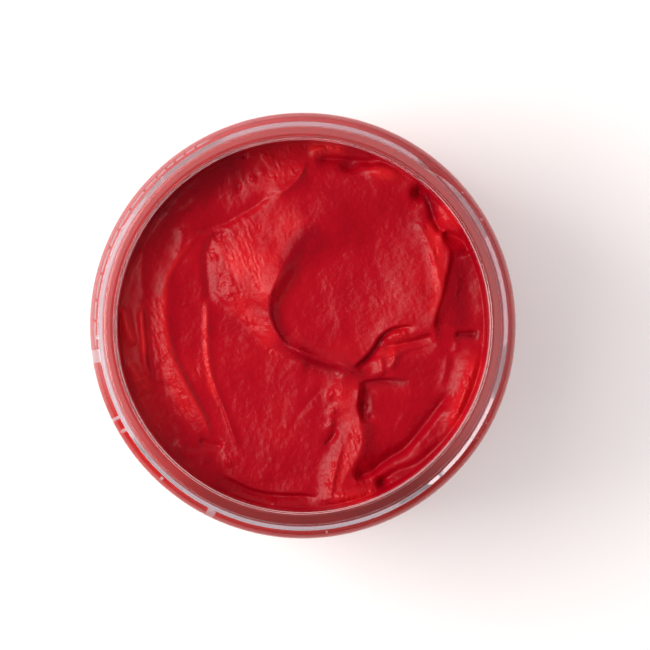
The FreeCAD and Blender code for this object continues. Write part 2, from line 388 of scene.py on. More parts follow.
def upper_fold(top):
    """The long crease that borders the bright face at the top, and the crest at its right end."""
    top.crest([(-19, 16), (-16, 16.3), (-13, 17.2), (-11, 18.3), (-8, 20), (-6.5, 21.2), (-4, 22)],
              -0.7, 1.2, 0.6)
    top.crest([(-4.6, 21.4), (-3.6, 22.2), (-2, 23.3), (-0.5, 24.8), (0.3, 26.5), (0.5, 28)], 0.55, 1.2, 0.5)
    top.mound((1.8, 23.6), (2.6, 1.8), -0.3, turn=30)
    top.crest([(-8.8, 24.4), (-8, 25.2)], 0.5, 0.5, 0.5)
    top.crest([(-7, 25.4), (-6.6, 26.4)], 0.4, 0.4, 0.4)
    top.crest([(-10, 28.2), (-9.4, 29.2)], -0.7, 0.5, 0.5)
    top.mound((-10.8, 23.4), (0.6, 0.8), -0.6)
    top.tear((-5.2, 28.6), (1.6, 1.2), 1.0, turn=30)
    top.tear((-3.5, 26), (3.2, 1.6), 0.6, turn=15)
    top.tear((-1.4, 30.2), (1.4, 0.5), 0.9)
    top.crest([(-6.6, 28), (-5, 29)], 0.6, 0.6, 0.9)


def upper_right(top):
    top.crest([(1, 29.3), (3, 29.8), (5, 30), (7.5, 29.4)], 0.7, 0.6, 0.5)
    top.tear_along([(1, 29.4), (4, 29.8), (7.5, 29.5)], 0.6, 0.9)
    top.crest([(1.8, 28.2), (5, 28.2), (8, 28), (11, 27.8), (13.5, 27.5)], -1.3, 0.5, 1.3)
    top.mound((8, 26.8), (1.4, 1.0), -0.8)
    top.mound((13.6, 25.8), (2.9, 1.1), 1.0, turn=-8, power=3)
    top.crest([(11, 26.3), (13, 27), (15, 26.6), (16.3, 25.5)], 0.35, 0.4, 0.5)
    top.tear((14, 25), (1.8, 0.5), 0.8, turn=-8)
    # pit and fold line down the right
    top.mound((19.6, 22.3), (1.1, 1.3), -2.0)
    top.crest([(19, 22.8), (20.5, 22.6), (21.3, 21), (21.8, 19.5), (22.2, 18), (23, 16.5), (23.8, 15.5)],
              -1.4, 0.8, 0.6, fade=(0.1, 0.1))
    top.crest([(23.6, 15.5), (24.6, 15.5), (26, 15), (27.5, 14), (28.7, 12.4)], -1.6, 0.5, 1.4, fade=(0.1,
                                                                                                      0.1))
    top.tear((24, 18.2), (1.5, 2.6), 0.7, turn=40)
    top.mound((24.6, 18.6), (1.8, 3.2), 0.9, turn=42)


def right_lump(top):
    """The surface rises all the way to an overhanging edge on the right, with a sunken place beyond it."""
    edge = [(22.2, -1.2), (22.5, 1), (23, 3), (23.7, 5), (24.3, 8), (24.8, 10), (25, 12.6), (23.6, 14.6)]
    top.fold(edge, 0.2, 0.7, 0.6, 2.6, fade=(0.1, 0.2))
    top.crest([(18.8, 18), (20.6, 15.5), (22, 12), (22.8, 9), (23.2, 6.5), (23.3, 5)], 0.5, 0.7, 0.8,
              fade=(0.15, 0.2))
    top.mound((28, 5), (1.8, 5), -0.5)
    top.crest([(26, 11), (26.3, 7.5), (25.6, 3.5)], 0.2, 0.5, 0.9, fade=(0.4, 0.4))
    top.tear_along([(20.8, 18.6), (21.6, 15.5), (22.3, 12), (22.6, 8.5), (23, 5.5)], 0.9, 0.9)
    top.tear((14.5, 4.2), (4.0, 2.0), 0.35, turn=60)


def lip(top):
    """What lies below the scoop's flap."""
    top.tear_along([(14.2, -2.4), (15.5, -1.4), (17.8, -0.8)], 1.0, 1.0)
    top.crest([(13.8, -2.6), (15.2, -1.5), (18, -0.9)], 0.5, 0.6, 1.2)
    top.crest([(12.6, -3.5), (15, -3.4), (17, -3), (20, -2.3), (22.2, -1.5)], -0.9, 0.5, 0.9, fade=(0.2, 0.1))
    top.crest([(15, -6.2), (18, -4.6), (20, -4), (23, -3.2)], -0.4, 0.4, 0.8, fade=(0.4, 0.4))
    top.crest([(14.7, -4), (15.8, -4.6), (15.4, -6.2), (14.3, -7.8)], 0.7, 0.6, 0.9)
    top.crest([(12.8, -5), (13.5, -6.5), (13.6, -8.6)], 0.7, 0.4, 0.9)
    top.tear((15.6, -4.8), (0.8, 1.6), 1.0, turn=-25)
    top.tear((13.4, -6.6), (0.6, 2.0), 1.0, turn=15)
    top.crest([(9.8, -9.8), (13, -9.3), (16, -9.3), (19, -9.6)], -1.0, 0.4, 1.6, fade=(0.1, 0.6))


def centre_ridge(top):
    """The broken ridge that runs down from the scoop, steep on its right."""
    edge = [(10, -18), (9.9, -16), (9.4, -13.5), (9.6, -10.5), (8.8, -9.2)]
    top.fold(edge, 0.15, 0.7, 0.3, 1.2, fade=(0.3, 0.2))
    top.mound((6.3, -11.5), (1.8, 2.6), 0.7, turn=10)
    top.mound((10.3, -13.6), (0.8, 1.2), -1.0)
    top.crest([(10.1, -14.5), (10.6, -15.8), (11.4, -15.7), (11.8, -14.8)], -0.3, 0.5, 0.4)
    top.crest([(3.8, -10), (1, -13), (-2, -17)], -0.15, 0.5, 0.5)
    top.crest([(6, -17.5), (5, -19), (3.8, -20.3)], -0.7, 0.5, 0.5)
    for centre, size in (((4.8, -11.5), (0.5, 1.1)), ((5, -14.5), (0.7, 1.0)), ((4.8, -16.6), (0.5, 0.9))):
        top.mound(centre, size, 0.45, turn=-30)
        top.tear(centre, size, 0.9, turn=-30)
    top.tear((8.9, -19.5), (1.0, 3.4), 0.9, turn=-8)
    top.tear((7.4, -22.5), (1.0, 2.0), 0.9, turn=-12)
    top.tear((7, -11.5), (2.0, 2.0), 0.5)
    top.tear_along([(5.4, -22), (5.3, -25), (4.6, -27.5), (3.6, -29)], 0.9, 0.9)


def lower_right(top):
    """Smooth drawn paint, then valleys and lumps along the wall."""
    top.mound((17, -14.5), (6, 5), -0.5, turn=40)
    top.crest([(24.7, -4), (24.4, -7), (23.4, -11)], 0.35, 0.3, 1.0, fade=(0.4, 0.4))
    top.crest([(15, -18.5), (16.4, -16.4), (17.8, -14)], 0.15, 0.4, 1.0, fade=(0.4, 0.4))
    valley = [(25.6, -9.8), (24.5, -11.6), (23, -13.8), (21, -16.5), (19, -19), (17, -21), (15, -22.2),
              (13, -23.6), (11.5, -25), (8.5, -25.9)]
    top.crest(valley, -1.8, 0.8, 1.3, fade=(0.25, 0.08))
    top.crest([(24.5, -12.8), (22.6, -15.8), (20, -19), (17.8, -21.6)], 0.9, 0.9, 1.5)
    top.crest([(13.2, -27.4), (13.8, -26.2), (16, -24.5), (19, -23.5), (21.5, -21.5), (24.2, -18.6)],
              -1.0, 0.7, 1.0, fade=(0.05, 0.3))
    top.mound((13.5, -26.6), (0.8, 0.9), -1.2)
    top.crest([(29.5, -5), (28.4, -8), (27.4, -11), (26.3, -14), (25.2, -17.6)], 1.0, 1.1, 1.2)
    top.tear_along([(29, -5.5), (28.2, -9), (26.6, -12), (26, -15), (25, -17.6)], 1.1, 1.0)
    top.tear((30.4, -2.6), (0.5, 1.2), 1.0)
    top.tear((22, -15.8), (0.7, 3.5), 0.6, turn=-38)
    top.crest([(25.4, -1.4), (27.5, -1.3), (29.8, -1.2)], -0.8, 0.4, 0.9, fade=(0.3, 0.2))
    top.crest([(26, -2.6), (25.8, -4.6)], 0.3, 0.6, 0.6)
    # crumbs and lumps at the bottom of the ridge
    top.mound((11.6, -25.4), (1.6, 0.6), 0.7, turn=15)
    top.mound((9.6, -26.4), (1.6, 0.5), 0.7, turn=-5)
    top.tear((11, -25.8), (2.6, 0.9), 1.0, turn=10)
    top.mound((8.5, -28.8), (4.5, 1.3), 1.2, turn=8)
    top.tear((8, -28.9), (5, 1.2), 0.9, turn=8)


def bottom(top):
    top.fold([(-14.5, -24.8), (-12, -26), (-8, -27.8), (-4, -28.4), (0, -28.5), (3, -28.8)], 0.5, 3.0, 0.8,
             1.5, fade=(0.2, 0.15))
    top.mound((-4.8, -29.9), (0.5, 0.5), 0.5)
    for centre in ((-2.6, -17), (-1, -17.3), (7.9, 2.5), (-19.7, 3.6), (-5.1, -22.6)):
        top.mound(centre, (0.3, 0.3), 0.16)


def painted_light_strokes(top):
    """Painted light and shade in the paste's colour: lighter on lit faces, ridges and the left wall,
    darker in creases, pits and shaded places.
    """
    top.shade([(-12.5, 9), (-9.5, 10.5), (-7, 9), (-6.4, 5), (-6.3, 1.5)], 3.2, 0.75, fade=(0.1, 0.3))
    top.shade([(-13, 13.5), (-8, 15.5), (-3.5, 18), (1, 19.5)], 3.2, 0.4, fade=(0.25, 0.3))
    top.shade([(-12.5, 5), (-9, 1.8), (-6.5, -0.8), (-4, -3.8)], 1.9, 0.55, power=3.0)
    top.shade([(-6.2, 9.5), (-4.6, 12.5), (-3.2, 15), (-1.2, 17.2), (1, 18.8)], 1.6, 0.35, power=3.0)
    top.shade([(-3.2, 8), (-2.2, 11), (-0.6, 13.6), (1.2, 15.6), (3.6, 17.2)], 1.5, -0.45, power=3.0)
    top.shade([(6.8, -9.5), (7.2, -12.5), (8.6, -16), (8.6, -19.5), (7.4, -23), (5.6, -26.5), (4.8, -29.3)],
              1.8, 0.35, fade=(0.1, 0.3), power=3.0)
    top.shade([(-29, 13), (-30.3, 4), (-30, -5), (-27, -14), (-21, -22)], 3.2, 0.5, power=3.0)
    top.shade([(-24, 7), (-24.2, 1), (-23.2, -6), (-19.5, -14), (-18, -17.5)], 1.5, 0.5)
    top.shade([(-16.4, 5), (-16.3, -4), (-15.6, -9), (-14, -14)], 0.45, 0.8)
    top.shade([(-18, 14.6), (-20, 12.5), (-21.5, 10.3), (-22.7, 7.8), (-23.3, 3), (-23.1, 0), (-22.2, -4),
               (-20.3, -8.5), (-18.8, -11.5), (-17.2, -14.5), (-15.4, -18.5)], 0.4, 0.7, fade=(0.1, 0.1))
    top.shade([(-30.2, 3), (-29, -1), (-28, -3.5)], 0.5, 0.8)
    top.shade([(-27, 3), (-26.5, -3), (-26.3, -6)], 0.5, 0.8)
    top.shade_spot((-27.2, -8.8), (1.1, 3.0), 0.4, turn=32)
    top.shade([(20.5, 18.3), (22.3, 14.5), (23, 10), (23, 5.5), (21.8, 0)], 1.3, 0.7, power=3.0)
    top.shade([(30, -4), (28.4, -9), (26.4, -14), (24, -18.5)], 1.7, 0.5)
    top.shade([(22.5, 20.5), (25, 17.8), (27, 15.8)], 1.5, 0.5)
    top.shade([(0.5, 29.6), (4, 30), (8, 29.6)], 1.2, 0.9)
    top.shade([(4.5, -29.5), (8, -29), (12.5, -28)], 1.3, 0.35)
    top.shade_spot((14.2, 25.6), (2.6, 1.1), 0.8, turn=-8, power=3.0)
    top.shade_spot((-4, 25.4), (4.5, 2.6), 0.25, turn=25)
    top.shade_spot((18.5, 4), (4.0, 6.5), 0.3)
    top.shade_spot((14.8, -4), (2.4, 1.4), 0.5, turn=40)
    top.shade([(-4.6, 8), (-4.9, 4), (-4.2, 0), (-2, -3.8), (2.5, -6.6), (7, -7.6), (9.6, -7.4)], 1.2, -0.5,
              fade=(0.25, 0.05))
    top.shade([(9.3, -6.8), (11.5, -4.8), (13, -2.7), (15, -1)], 0.8, -0.6)
    top.shade([(27.6, 13.5), (27.2, 8), (26.4, 3), (26.2, -1)], 2.4, -0.55, fade=(0.1, 0.1))
    top.shade([(25.2, -1.6), (27.5, -1.5), (30.3, -1.5)], 0.8, -0.7)
    top.shade([(10.2, -9.6), (14, -9.4), (18.5, -9.6)], 0.7, -0.5)
    top.shade([(10.4, -10), (11, -13), (10.7, -16)], 1.1, -0.45)
    top.shade([(25, -10), (21, -16), (15.5, -22), (9, -26)], 0.9, -0.25, fade=(0.1, 0.05))
    top.shade([(24, -18), (19, -23.5), (13.5, -27)], 0.8, -0.3)
    top.shade([(-26.5, 16), (-22, 20.5), (-15, 25.5), (-8, 28.6)], 2.8, -0.6)
    top.shade([(19.4, 22.6), (21.3, 21), (22.6, 17.4)], 0.9, -0.8)
    top.shade_spot((8, 27), (2.0, 1.0), -0.5)
    top.shade_spot((13.5, -26.6), (0.9, 0.9), -0.4)


def unevenness(top):
    """Hand-made waviness, and the torn texture where the spatula lifted."""
    x, y = top.x, top.y
    for height, size, seed in ((0.30, 6.5, 1.5), (0.10, 2.2, 4.5), (0.036, 0.8, 9.5), (0.020, 0.4, 41.5)):
        top.height += height * grain(x, y, size, seed)
    drag = grain(x, y, 0.36, 14.5, stretch=4.0, turn=112)
    crumb = grain(x, y, 0.36, 21.5)
    patchy = np.clip(0.6 + 1.1 * grain(x, y, 1.3, 33.5), 0.1, 1.3)
    top.height += top.torn * patchy * (0.30 * drag + 0.14 * crumb)


def blurred(values, width):
    """Values on the grid, softened over about width cells."""
    reach = np.arange(-3 * width, 3 * width + 1)
    weights = np.exp(-0.5 * (reach / width) ** 2)
    weights /= weights.sum()
    side = GRID + 1
    field = values.reshape(side, side)
    for axis in (0, 1):
        padding = [(0, 0), (0, 0)]
        padding[axis] = (3 * width, 3 * width)
        padded = np.pad(field, padding, mode="edge")
        field = sum(weight * np.roll(padded, -shift, axis).take(range(3 * width, 3 * width + side), axis)
                    for weight, shift in zip(weights, reach))
    return field.ravel()


def sculpt(x, y):
    """The whole top, from the broad shape to the finest marks."""
    top = Surface((x + STROKE_SHIFT) / STROKE_SCALE, y / STROKE_SCALE)
    broad_shape(top)
    top.height = blurred(top.height, 4)
    for region in (lit_slopes, scoop, left_face, left_arcs, upper_fold, upper_right, right_lump, lip,
                   centre_ridge, lower_right, bottom, painted_light_strokes):
        region(top)
    top.height = blurred(top.height, 1)
    unevenness(top)
    return top


# ---------------- where the paint meets the jar
def direction_of(x, y):
    return np.degrees(np.arctan2(y, x)) % 360


def sector(direction, start, end, soft):
    """1 inside a sector that runs counter-clockwise from start to end, fading over soft degrees."""
    width = (end - start) % 360
    offset = (direction - start) % 360
    offset = np.where(offset > width + (360 - width) / 2, offset - 360, offset)
    return smooth(offset / soft + 0.5) * smooth((width - offset) / soft + 0.5)


def film_height(direction):
    """How far the paint is smeared up the inside of the neck, in mm."""
    height = FILM_LOW + FILM_RISE * sector(direction, *FILM_HIGH_SECTOR, 16)
    turn = np.radians(direction)
    x, y = 60 * np.cos(turn), 60 * np.sin(turn)
    ragged = 0.08 * grain(x, y, 9.0, 3.5) + 0.025 * grain(x, y, 2.0, 6.5)
    return np.clip(height * (1 + ragged), *FILM_LIMITS)


# White painted where air was trapped under the shoulder, standing in for the glint of those air pockets and
# of small bumps: direction, half its width in degrees, the stretch of the outline that it covers, in mm from
# the foot of the mouth's bend, and its strength.
AIR_POCKET_GLINTS = (
    (30.7, 0.35, 4.2, 4.7, 1.0), (39.8, 0.35, 4.2, 4.7, 1.0), (183.3, 0.5, 3.5, 4.4, 1.0),
    (188.4, 1.8, 3.2, 12.0, 1.0), (206.5, 0.45, 3.2, 12.0, 1.0), (210.4, 0.5, 3.2, 5.2, 0.9),
    (227.3, 0.4, 4.1, 4.8, 1.0), (243.8, 1.2, 3.4, 5.6, 0.9), (276.6, 0.3, 4.1, 4.7, 0.8),
    (327.3, 0.25, 4.2, 4.7, 0.4), (332.0, 0.25, 4.2, 4.7, 0.4),
)
THIN_GLINT_LINE = (117.0, 186.0)           # where a thin broken line of painted glint follows the shoulder's corner
BREAKS = (121.0, 124.5, 128.0, 131.0, 134.5, 139.5, 146.0, 152.5, 158.0, 165.5, 173.0, 178.7)
FRONT = (232.0, 314.0)                # round the front, the paste under the neck is darkened as painted shade, where less light reaches it


def wetted_painted_light(direction, distance):
    """Painted light and shade of the paste against the plastic, by direction and distance along the outline.
    """
    painted_front_shade = sector(direction, *FRONT, 34.0) * (0.15 + 0.45 * smooth((3.6 - distance) / 1.2))
    glint = np.zeros_like(direction)
    for middle, half, start, end, strength in AIR_POCKET_GLINTS:
        off = np.abs((direction - middle + 180) % 360 - 180)
        within = smooth((half - off) / 0.3 + 0.5)
        glint = np.maximum(glint, strength * within * smooth((distance - start) / 0.3 + 0.5)
                           * smooth((end - distance) / 0.3 + 0.5))
    line = sector(direction, *THIN_GLINT_LINE, 4.0)
    for middle in BREAKS:
        line = line * smooth((np.abs(direction - middle) - 0.2) / 0.4)
    strip = smooth((distance - 4.15) / 0.2) * smooth((4.75 - distance) / 0.2)
    glint = np.maximum(glint, line * strip)
    return glint - painted_front_shade * (1 - glint)


# ---------------- meshes
def new_piece(name, points, faces, material):
    """A smooth-shaded object of points in mm."""
    mesh = bpy.data.meshes.new(name)
    mesh.from_pydata((np.asarray(points) * SCALE).tolist(), [], faces)
    mesh.validate()
    mesh.update()
    mesh.shade_smooth()
    mesh.materials.append(material)
    piece = bpy.data.objects.new(name, mesh)
    bpy.context.scene.collection.objects.link(piece)
    return piece


def ring_faces(lower, upper, count):
    """Faces between two rings of points, given by the index of each ring's first point."""
    nearby = np.arange(count)
    after = (nearby + 1) % count
    return np.stack([lower + nearby, lower + after, upper + after, upper + nearby], -1).tolist()


def thread_bulge(direction, height):
    """How far the thread stands out of the neck at one height, for an array of directions."""
    bulge = np.zeros_like(direction)
    for lap in (0, 360):
        back = (THREAD_UPPER_END - direction) % 360 + lap
        fade = np.clip(np.minimum(back, THREAD_TURN - back) / THREAD_TAPER, 0, 1)
        off = np.abs(height - (THREAD_TOP - THREAD_PITCH * back / 360))
        slope = np.clip((THREAD_ROOT_WIDTH / 2 - off) / (THREAD_ROOT_WIDTH - THREAD_CREST_WIDTH) * 2, 0, 1)
        depth = (THREAD_DEPTH + THREAD_ROOTING) * np.sin(fade * math.pi / 2) * slope - THREAD_ROOTING
        bulge = np.maximum(bulge, np.where(back <= THREAD_TURN, depth, 0))
    return bulge


def neck_radius(direction, height):
    """The neck's outside with its thread and parting lines."""
    shifts = np.linspace(-THREAD_ROUNDING, THREAD_ROUNDING, 5)
    bulge = sum(thread_bulge(direction, height + shift) for shift in shifts) / len(shifts)
    for middle in SEAM_DIRECTIONS:
        bulge = bulge + SEAM_PROUD * np.exp(-((direction - middle) / SEAM_HALF_ANGLE) ** 2)
    return NECK_RADIUS + bulge


def make_jar(material):
    """The jar, revolved from the middle of its underside over the rim to the middle of its floor."""
    extra = [middle + off for middle in SEAM_DIRECTIONS for off in (-0.5, -0.35, -0.2, 0, 0.2, 0.35)]
    directions = np.unique(np.concatenate([np.arange(0, 360, 1.0), extra]))
    cosines, sines = np.cos(np.radians(directions)), np.sin(np.radians(directions))
    underside = dome(REST_RING_RADIUS, 0, PUSH_UP)
    gate_low = PUSH_UP - GATE_HEIGHT
    gate = [(0, gate_low), (0.7, gate_low), (GATE_RADIUS - 0.2, gate_low), (GATE_RADIUS, gate_low + 0.15),
            (GATE_RADIUS + 0.1, PUSH_UP - 0.05)]
    wall_centre = BODY_RADIUS - SHOULDER_RADIUS
    root = NECK_RADIUS + NECK_ROOT_FILLET
    outer = gate + [point for point in underside if point[0] > GATE_RADIUS + 0.5]
    heel = bend(BODY_RADIUS - HEEL_RADIUS, HEEL_RADIUS, HEEL_RADIUS, -90, 0, 12)
    shoulder = bend(wall_centre, SHOULDER - SHOULDER_RADIUS, SHOULDER_RADIUS, 0, 90, 20)
    outer += heel + run(heel[-1], shoulder[0], 8.0) + shoulder[:-1]
    outer += bend(root, SHOULDER + NECK_ROOT_FILLET, NECK_ROOT_FILLET, 270, 180, 5)[:-1]
    neck = np.linspace(SHOULDER + NECK_ROOT_FILLET, JAR_HEIGHT - LAND_OUTER_RADIUS, 134)
    rim = bend(NECK_RADIUS - LAND_OUTER_RADIUS, JAR_HEIGHT - LAND_OUTER_RADIUS, LAND_OUTER_RADIUS, 0, 90,
               5)[1:]
    rim += bend(MOUTH_RADIUS + LAND_INNER_RADIUS, JAR_HEIGHT - LAND_INNER_RADIUS, LAND_INNER_RADIUS, 90, 180,
                6)
    rows = [(np.full_like(directions, radius), height) for radius, height in outer]
    rows += [(neck_radius(directions, height), height) for height in neck]
    rows += [(np.full_like(directions, radius), height) for radius, height in rim + inside_outline()]

    points, faces = [], []
    count = len(directions)
    for index, (radius, height) in enumerate(rows):
        points.append(np.column_stack([radius * cosines, radius * sines, np.full(count, height)]))
        if index:
            faces += ring_faces((index - 1) * count, index * count, count)
    # both ends come together on the axis
    points = np.vstack(points)
    last = (len(rows) - 1) * count
    points[:count, :2] = 0
    points[last:, :2] = 0
    piece = new_piece("clear_jar", points, faces, material)
    weld(piece)
    return piece


def weld(piece):
    """Join the points that share a place, such as those on the axis."""
    shape = bmesh.new()
    shape.from_mesh(piece.data)
    bmesh.ops.remove_doubles(shape, verts=shape.verts, dist=1e-7)
    shape.to_mesh(piece.data)
    shape.free()
    piece.data.validate()


def disc_grid(radius):
    """Points of a square grid drawn out to a disc with cells of equal area, row by row."""
    side = np.linspace(-1, 1, GRID + 1)
    a, b = np.meshgrid(side, side)
    wide = np.abs(a) > np.abs(b)
    with np.errstate(divide="ignore", invalid="ignore"):
        reach = np.where(wide, a, b)
        turn = np.where(wide, (math.pi / 4) * (b / a), math.pi / 2 - (math.pi / 4) * (a / b))
    turn = np.where((a == 0) & (b == 0), 0, turn)
    return (radius * reach * np.cos(turn)).ravel(), (radius * reach * np.sin(turn)).ravel()


def paint_edge():
    """The paint's level at the wall, from the CAD."""
    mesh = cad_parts["paint"].data
    corners = [(math.hypot(v.co.x, v.co.y) / SCALE, v.co.z / SCALE) for v in mesh.vertices]
    return max(z for r, z in corners if abs(r - MOUTH_RADIUS) < 0.05)


def make_paint(open_material, lit_wetted_material):
    """One closed piece: the sculpted top, and rings below it that follow the jar's inside to its floor."""
    level = paint_edge()
    x, y = disc_grid(MOUTH_RADIUS + CONTACT)
    top = sculpt(x, y)
    radius = np.hypot(x, y)
    climb = smooth((radius - (MOUTH_RADIUS - 0.4)) / 0.28)
    edge_fall = smooth((radius - (MOUTH_RADIUS - 1.6)) / 1.2)
    height = top.height * (1 - 0.2 * edge_fall) + film_height(direction_of(x, y)) * climb
    points = [np.column_stack([x, y, level + height])]
    side = GRID + 1
    index = np.arange(side * side).reshape(side, side)
    faces = np.stack([index[:-1, :-1], index[:-1, 1:], index[1:, 1:], index[1:, :-1]], -1).reshape(-1,
                                                                                                   4).tolist()

    # the loop round the surface's edge, counter-clockwise, and rings of as many points below it
    loop = np.concatenate([index[0, :-1], index[:-1, -1], index[-1, :0:-1], index[:0:-1, 0]])
    edge = points[0][loop]
    directions = direction_of(edge[:, 0], edge[:, 1])
    turn = np.radians(directions)
    outline = np.array(inside_outline())
    steps = np.hypot(*np.diff(outline, axis=0).T)
    distances = np.concatenate([[0], np.cumsum(steps)])
    tangent = np.gradient(outline, axis=0)
    tangent /= np.linalg.norm(tangent, axis=1)[:, None]
    count = len(loop)
    total = side * side
    previous = None
    painted_light_below = []
    for (radius, height), distance, (along_r, along_z) in zip(outline, distances, tangent):
        if radius < 0.5:
            continue
        painted_light_below.append(wetted_painted_light(directions, np.full(count, distance)))
        r = radius - along_z * CONTACT
        z = np.full(count, height + along_r * CONTACT)
        points.append(np.column_stack([r * np.cos(turn), r * np.sin(turn), z]))
        if previous is None:
            after = np.roll(np.arange(count), -1)
            faces += np.stack([total + np.arange(count), total + after, loop[after], loop], -1).tolist()
        else:
            faces += ring_faces(total, previous, count)
        previous = total
        total += count
    points.append(np.array([[0, 0, outline[-1][1] - CONTACT]]))
    faces += [[previous + (step + 1) % count, previous + step, total] for step in range(count)]

    piece = new_piece("red_paste", np.vstack(points), faces, open_material)
    piece.data.materials.append(lit_wetted_material)
    for polygon in piece.data.polygons[GRID * GRID:]:
        polygon.material_index = 1
    # the torn texture, and the painted light and shade, go to the paint as point attributes
    marks = {"torn": [top.torn, np.zeros(len(painted_light_below) * count + 1)],
             "tone": [top.tone] + painted_light_below + [np.zeros(1)]}
    for name, values in marks.items():
        attribute = piece.data.attributes.new(name, "FLOAT", "POINT")
        attribute.data.foreach_set("value", np.concatenate(values).astype(np.float32))
    return piece


# ---------------- materials
class Nodes:
    """Short calls for building a material's node tree."""

    def __init__(self, name):
        self.material = bpy.data.materials.new(name)
        self.material.use_nodes = True
        self.tree = self.material.node_tree
        self.tree.nodes.clear()
        self.output = self.add("ShaderNodeOutputMaterial")

    def add(self, kind, inputs=None, **settings):
        node = self.tree.nodes.new(kind)
        for name, value in settings.items():
            setattr(node, name, value)
        for name, value in (inputs or {}).items():
            node.inputs[name].default_value = value
        return node

    def link(self, source, target):
        self.tree.links.new(source, target)

    def noise(self, scale, detail=3.0, roughness=0.5):
        """A noise texture in the object's own metres."""
        place = self.add("ShaderNodeTexCoord")
        texture = self.add("ShaderNodeTexNoise", {"Scale": scale, "Detail": detail, "Roughness": roughness})
        self.link(place.outputs["Object"], texture.inputs["Vector"])
        return texture.outputs["Fac"]

    def remap(self, value, low, high, to_low, to_high):
        node = self.add("ShaderNodeMapRange",
                        {"From Min": low, "From Max": high, "To Min": to_low, "To Max": to_high})
        self.link(value, node.inputs["Value"])
        return node.outputs["Result"]

    def math(self, operation, first, second):
        node = self.add("ShaderNodeMath", operation=operation)
        self.link(first, node.inputs[0])
        self.link(second, node.inputs[1])
        return node.outputs["Value"]

    def product(self, first, second):
        return self.math("MULTIPLY", first, second)

    def total(self, first, second):
        return self.math("ADD", first, second)

    def blend(self, factor, first, second):
        """From the first colour to the second; each is a colour or an output."""
        node = self.add("ShaderNodeMix", data_type="RGBA")
        self.link(factor, node.inputs["Factor"])
        for name, colour in (("A", first), ("B", second)):
            if isinstance(colour, tuple):
                node.inputs[name].default_value = colour
            else:
                self.link(colour, node.inputs[name])
        return node.outputs["Result"]

    def bump(self, height, strength, distance, under=None):
        node = self.add("ShaderNodeBump", {"Strength": strength, "Distance": distance})
        self.link(height, node.inputs["Height"])
        if under:
            self.link(under, node.inputs["Normal"])
        return node.outputs["Normal"]


def clear_plastic():
    """Clear moulded plastic with a slight haze and a painted red glow of the paste, mostly on the rim's land.

    Both vary with direction too: the haze is heavier toward the back and the left, as painted light where
    more light falls, and the red glow is stronger toward the back right. A little painted haze on the mouth's
    inner rounding makes a highlight line. Distances and heights are in metres: the mouth's inner rounding
    ends 0.032 from the axis, the land ends at 0.0333, and the shoulder lies beyond 0.0348.
    """
    nodes = Nodes("clear_pet")
    glass = nodes.add("ShaderNodeBsdfPrincipled", {"IOR": 1.57})
    place = nodes.add("ShaderNodeTexCoord")
    split = nodes.add("ShaderNodeSeparateXYZ")
    nodes.link(place.outputs["Object"], split.inputs["Vector"])
    flat = nodes.add("ShaderNodeVectorMath", {1: (1, 1, 0)}, operation="MULTIPLY")
    outward = nodes.add("ShaderNodeVectorMath", operation="LENGTH")
    nodes.link(place.outputs["Object"], flat.inputs[0])
    nodes.link(flat.outputs["Vector"], outward.inputs[0])
    distance, x, y, z = outward.outputs["Value"], split.outputs["X"], split.outputs["Y"], split.outputs["Z"]
    beyond_rounding = nodes.remap(distance, 0.03196, 0.0322, 0, 1)

    # a faint painted red glow of the paste, stronger toward the back right and strongest on the rim's land
    back_right = nodes.total(nodes.remap(x, -0.03, 0.03, -0.2, 0.25), nodes.remap(y, -0.03, 0.03, -0.1, 0.75))
    painted_red_glow = nodes.blend(back_right, (1.0, 0.83, 0.87, 1), (1.0, 0.58, 0.63, 1))
    on_land = nodes.product(nodes.remap(distance, 0.0333, 0.0336, 1, 0), nodes.remap(z, 0.0590, 0.0594, 0, 1))
    nodes.link(nodes.blend(on_land, painted_red_glow, (1.0, 0.42, 0.44, 1)), glass.inputs["Base Color"])

    # the haze is heavier toward the back and the left: painted light where more light falls
    land = nodes.product(nodes.remap(y, -0.027, -0.014, 0.2, 1), nodes.remap(x, 0.0, -0.034, 0.22, 0.26))
    shoulder = nodes.product(nodes.remap(y, -0.016, -0.004, 0, 1), nodes.remap(x, 0.02, -0.03, 0.09, 0.17))
    # the mouth's inner rounding is made a little milky toward its top: a painted highlight line
    rounding = nodes.product(nodes.remap(distance, 0.0321, 0.0319, 0, 1), nodes.remap(z, 0.0594, 0.0597, 0,
                                                                                      0.08))
    haze = nodes.add("ShaderNodeMix", data_type="FLOAT")
    nodes.link(nodes.remap(distance, 0.0340, 0.0348, 0, 1), haze.inputs["Factor"])
    nodes.link(land, haze.inputs["A"])
    nodes.link(shoulder, haze.inputs["B"])
    upper = nodes.product(nodes.product(haze.outputs["Result"], beyond_rounding), nodes.remap(z, 0.040, 0.047,
                                                                                              0, 1))
    haze_and_highlight = nodes.total(upper, rounding)
    nodes.link(nodes.remap(haze_and_highlight, 0, 1, 1, 0), glass.inputs["Transmission Weight"])

    uneven = nodes.remap(nodes.noise(260, 2), 0.35, 0.7, 0.0, 0.05)
    nodes.link(nodes.product(uneven, beyond_rounding), glass.inputs["Roughness"])
    waves = nodes.add("ShaderNodeBump", {"Distance": 0.0002})
    nodes.link(nodes.noise(420, 2), waves.inputs["Height"])
    nodes.link(nodes.remap(beyond_rounding, 0, 1, 0, 0.12), waves.inputs["Strength"])
    nodes.link(waves.outputs["Normal"], glass.inputs["Normal"])
    nodes.link(glass.outputs["BSDF"], nodes.output.inputs["Surface"])
    return nodes.material


